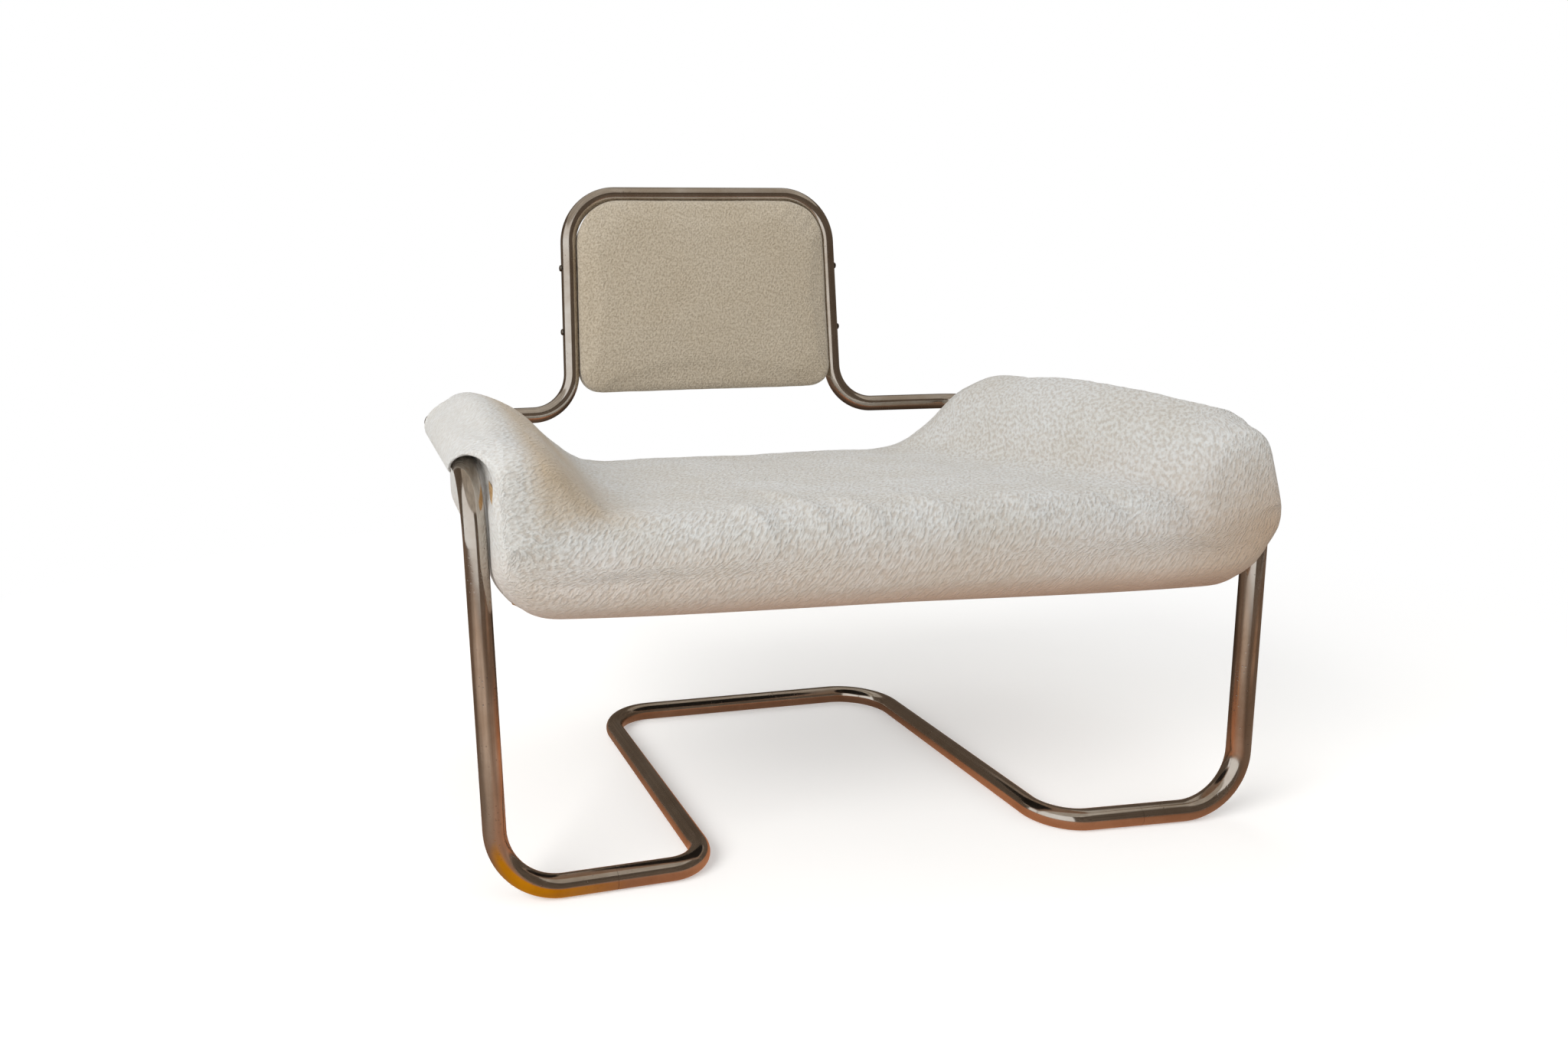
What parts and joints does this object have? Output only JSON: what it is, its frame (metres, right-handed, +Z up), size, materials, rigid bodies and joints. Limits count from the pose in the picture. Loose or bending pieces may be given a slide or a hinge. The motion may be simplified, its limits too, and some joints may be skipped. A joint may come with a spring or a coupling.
{
  "type": "cantilever lounge chair",
  "caption": "Lounge chair of bent steel tube with a padded seat whose raised wings lie on the arm rails and a slim padded back held inside the tube hoop.",
  "frame": {"origin": "middle of the chair's overall width and depth, on the floor that its base lies on", "axes": "+Z up, the sitter faces -Y, +X across the chair, which is the same on both sides of X = 0"},
  "size_m": [0.9346, 0.7235, 0.8164],
  "materials": {
    "tube": "polished plating",
    "fixings": "zinc-plated",
    "seat_fabric": "off-white looped pile",
    "back_fabric": "taupe looped pile",
    "padding": "cut foam",
    "plywood": "moulded plywood",
    "lining": "thin black lining"
  },
  "bodies": {
    "root": {"left_arm_leg_tube": "tube", "left_arm_sleeve": "fixings", "left_arm_sleeve_screw_1": "fixings", "left_arm_sleeve_screw_2": "fixings", "left_foot_sleeve": "fixings", "left_foot_sleeve_screw_1": "fixings", "left_foot_sleeve_screw_2": "fixings", "right_arm_leg_tube": "tube", "right_arm_sleeve": "fixings", "right_arm_sleeve_screw_1": "fixings", "right_arm_sleeve_screw_2": "fixings", "right_foot_sleeve": "fixings", "right_foot_sleeve_screw_1": "fixings", "right_foot_sleeve_screw_2": "fixings", "back_hoop_tube": "tube", "base_tube": "tube", "seat_cover": "seat_fabric", "seat_shell": "plywood", "seat_underside_cloth": "lining", "seat_front_foam": "padding", "seat_base_foam": "padding", "left_wing_foam": "padding", "left_seat_screw_1": "fixings", "left_seat_insert_1": "fixings", "left_seat_screw_2": "fixings", "left_seat_insert_2": "fixings", "left_seat_screw_3": "fixings", "left_seat_insert_3": "fixings", "right_wing_foam": "padding", "right_seat_screw_1": "fixings", "right_seat_insert_1": "fixings", "right_seat_screw_2": "fixings", "right_seat_insert_2": "fixings", "right_seat_screw_3": "fixings", "right_seat_insert_3": "fixings", "back_cover": "back_fabric", "back_foam": "padding", "back_board": "plywood", "back_rear_panel": "back_fabric", "left_back_screw_1": "fixings", "left_back_insert_1": "fixings", "left_back_screw_2": "fixings", "left_back_insert_2": "fixings", "right_back_screw_1": "fixings", "right_back_insert_1": "fixings", "right_back_screw_2": "fixings", "right_back_insert_2": "fixings"}
  },
  "joints": []
}
